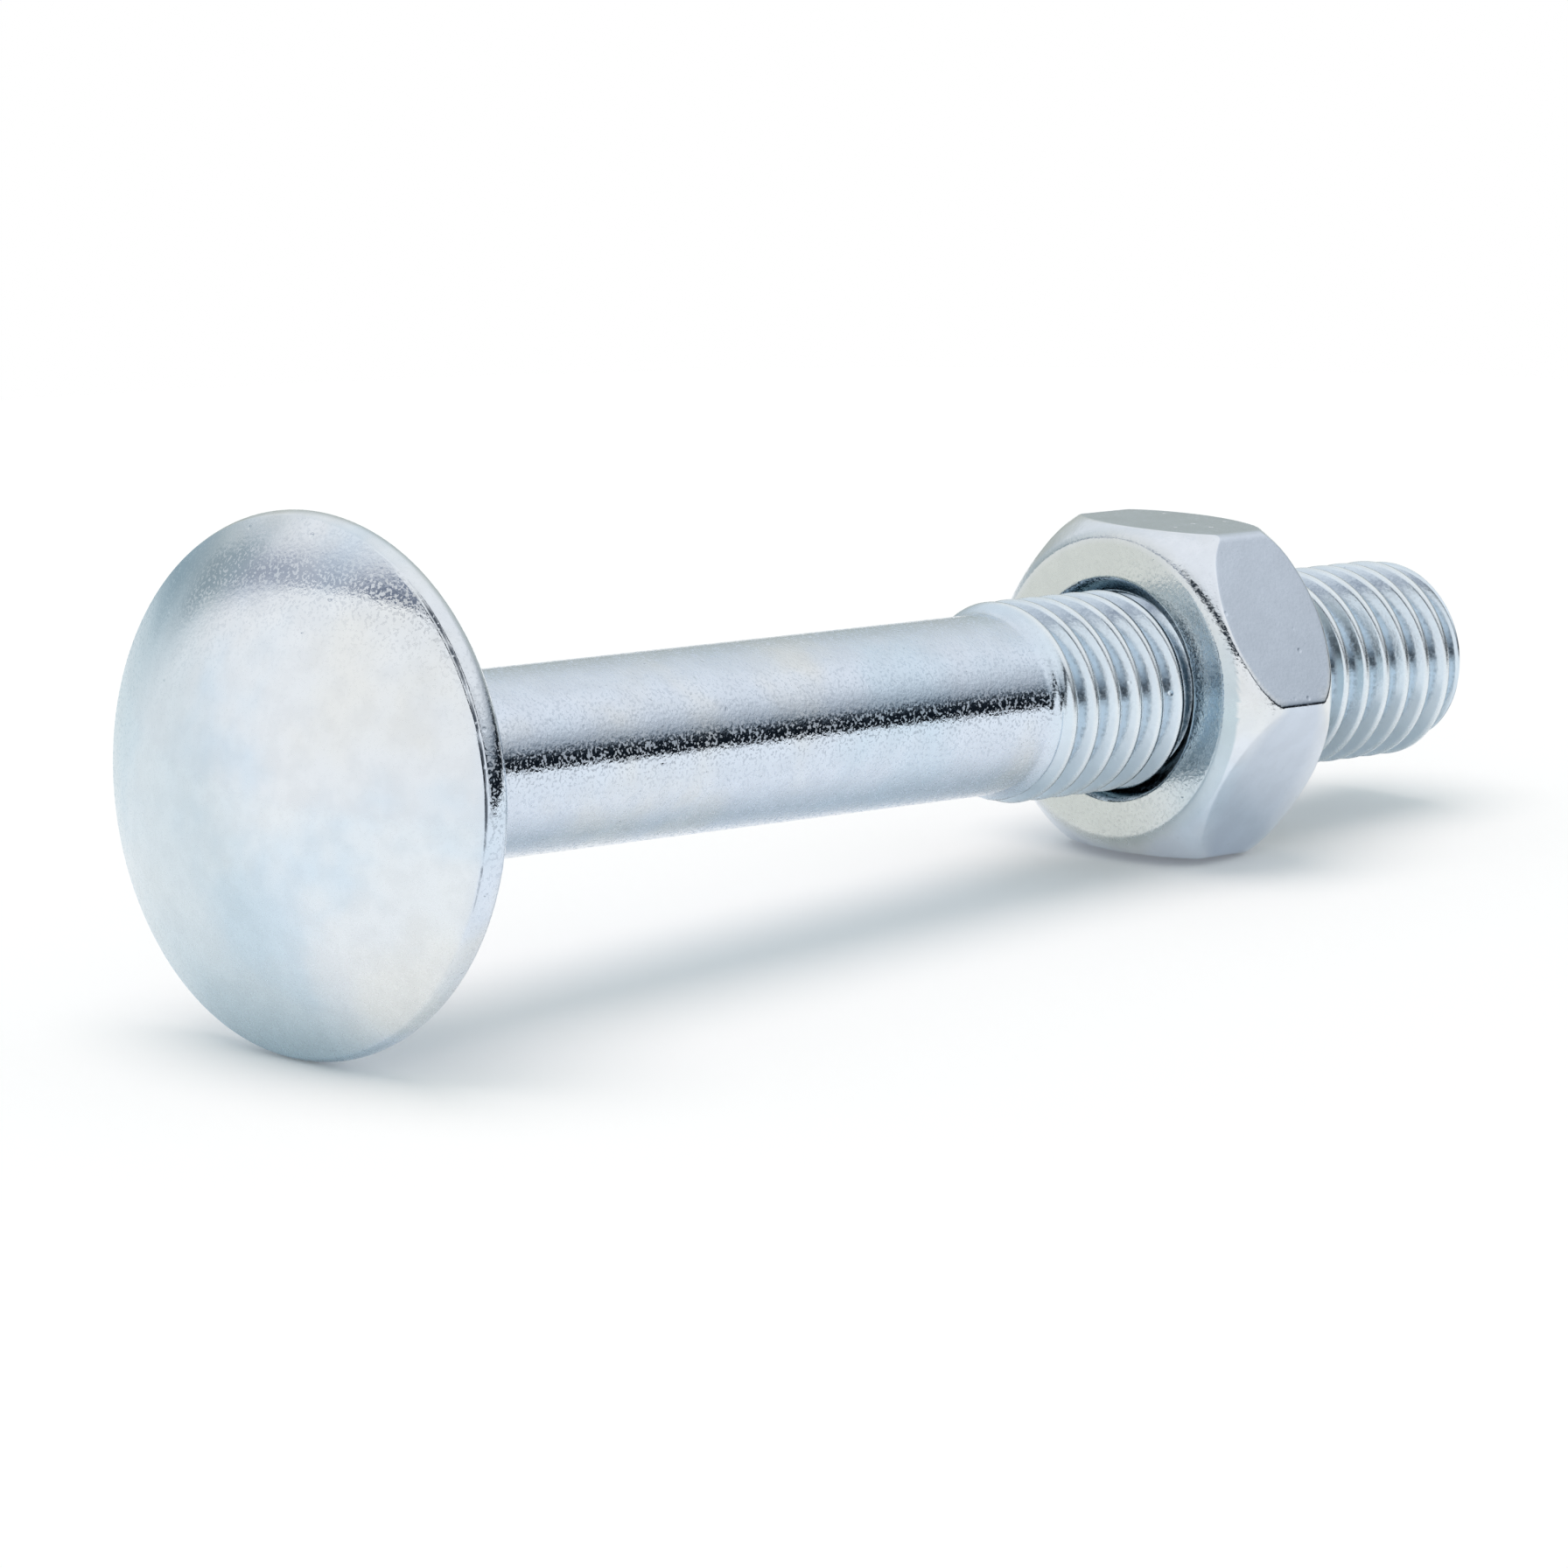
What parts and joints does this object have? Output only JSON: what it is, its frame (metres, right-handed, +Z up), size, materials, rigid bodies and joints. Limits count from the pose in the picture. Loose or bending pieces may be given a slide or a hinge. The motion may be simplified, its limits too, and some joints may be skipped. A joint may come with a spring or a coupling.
{
  "type": "carriage bolt",
  "caption": "Domed-head carriage bolt with a square neck, plain shank and threaded end, and a hex nut run on to the thread.",
  "frame": {"origin": "under the middle of the whole object, on the surface that it lies on", "axes": "+X runs along the bolt from the head to the tip, +Z is up; the bolt's own axis slopes 4.06 degrees down towards the tip, as it lies on its head's rim and a flat of the nut"},
  "size_m": [0.0646, 0.02, 0.02],
  "materials": {
    "bolt_zinc": "bright zinc-plated steel, pale blue-white with fine pits",
    "nut_zinc": "bright zinc-plated steel, a little smoother on the flats"
  },
  "bodies": {
    "bolt": {"carriage_bolt": "bolt_zinc"},
    "nut": {"hex_nut": "nut_zinc"}
  },
  "joints": [
    {"name": "nut_travel", "type": "slide", "parent": "bolt", "child": "nut", "axis": [0.9975, 0, -0.0709], "range_m": [-0.005, 0.01875]}
  ]
}
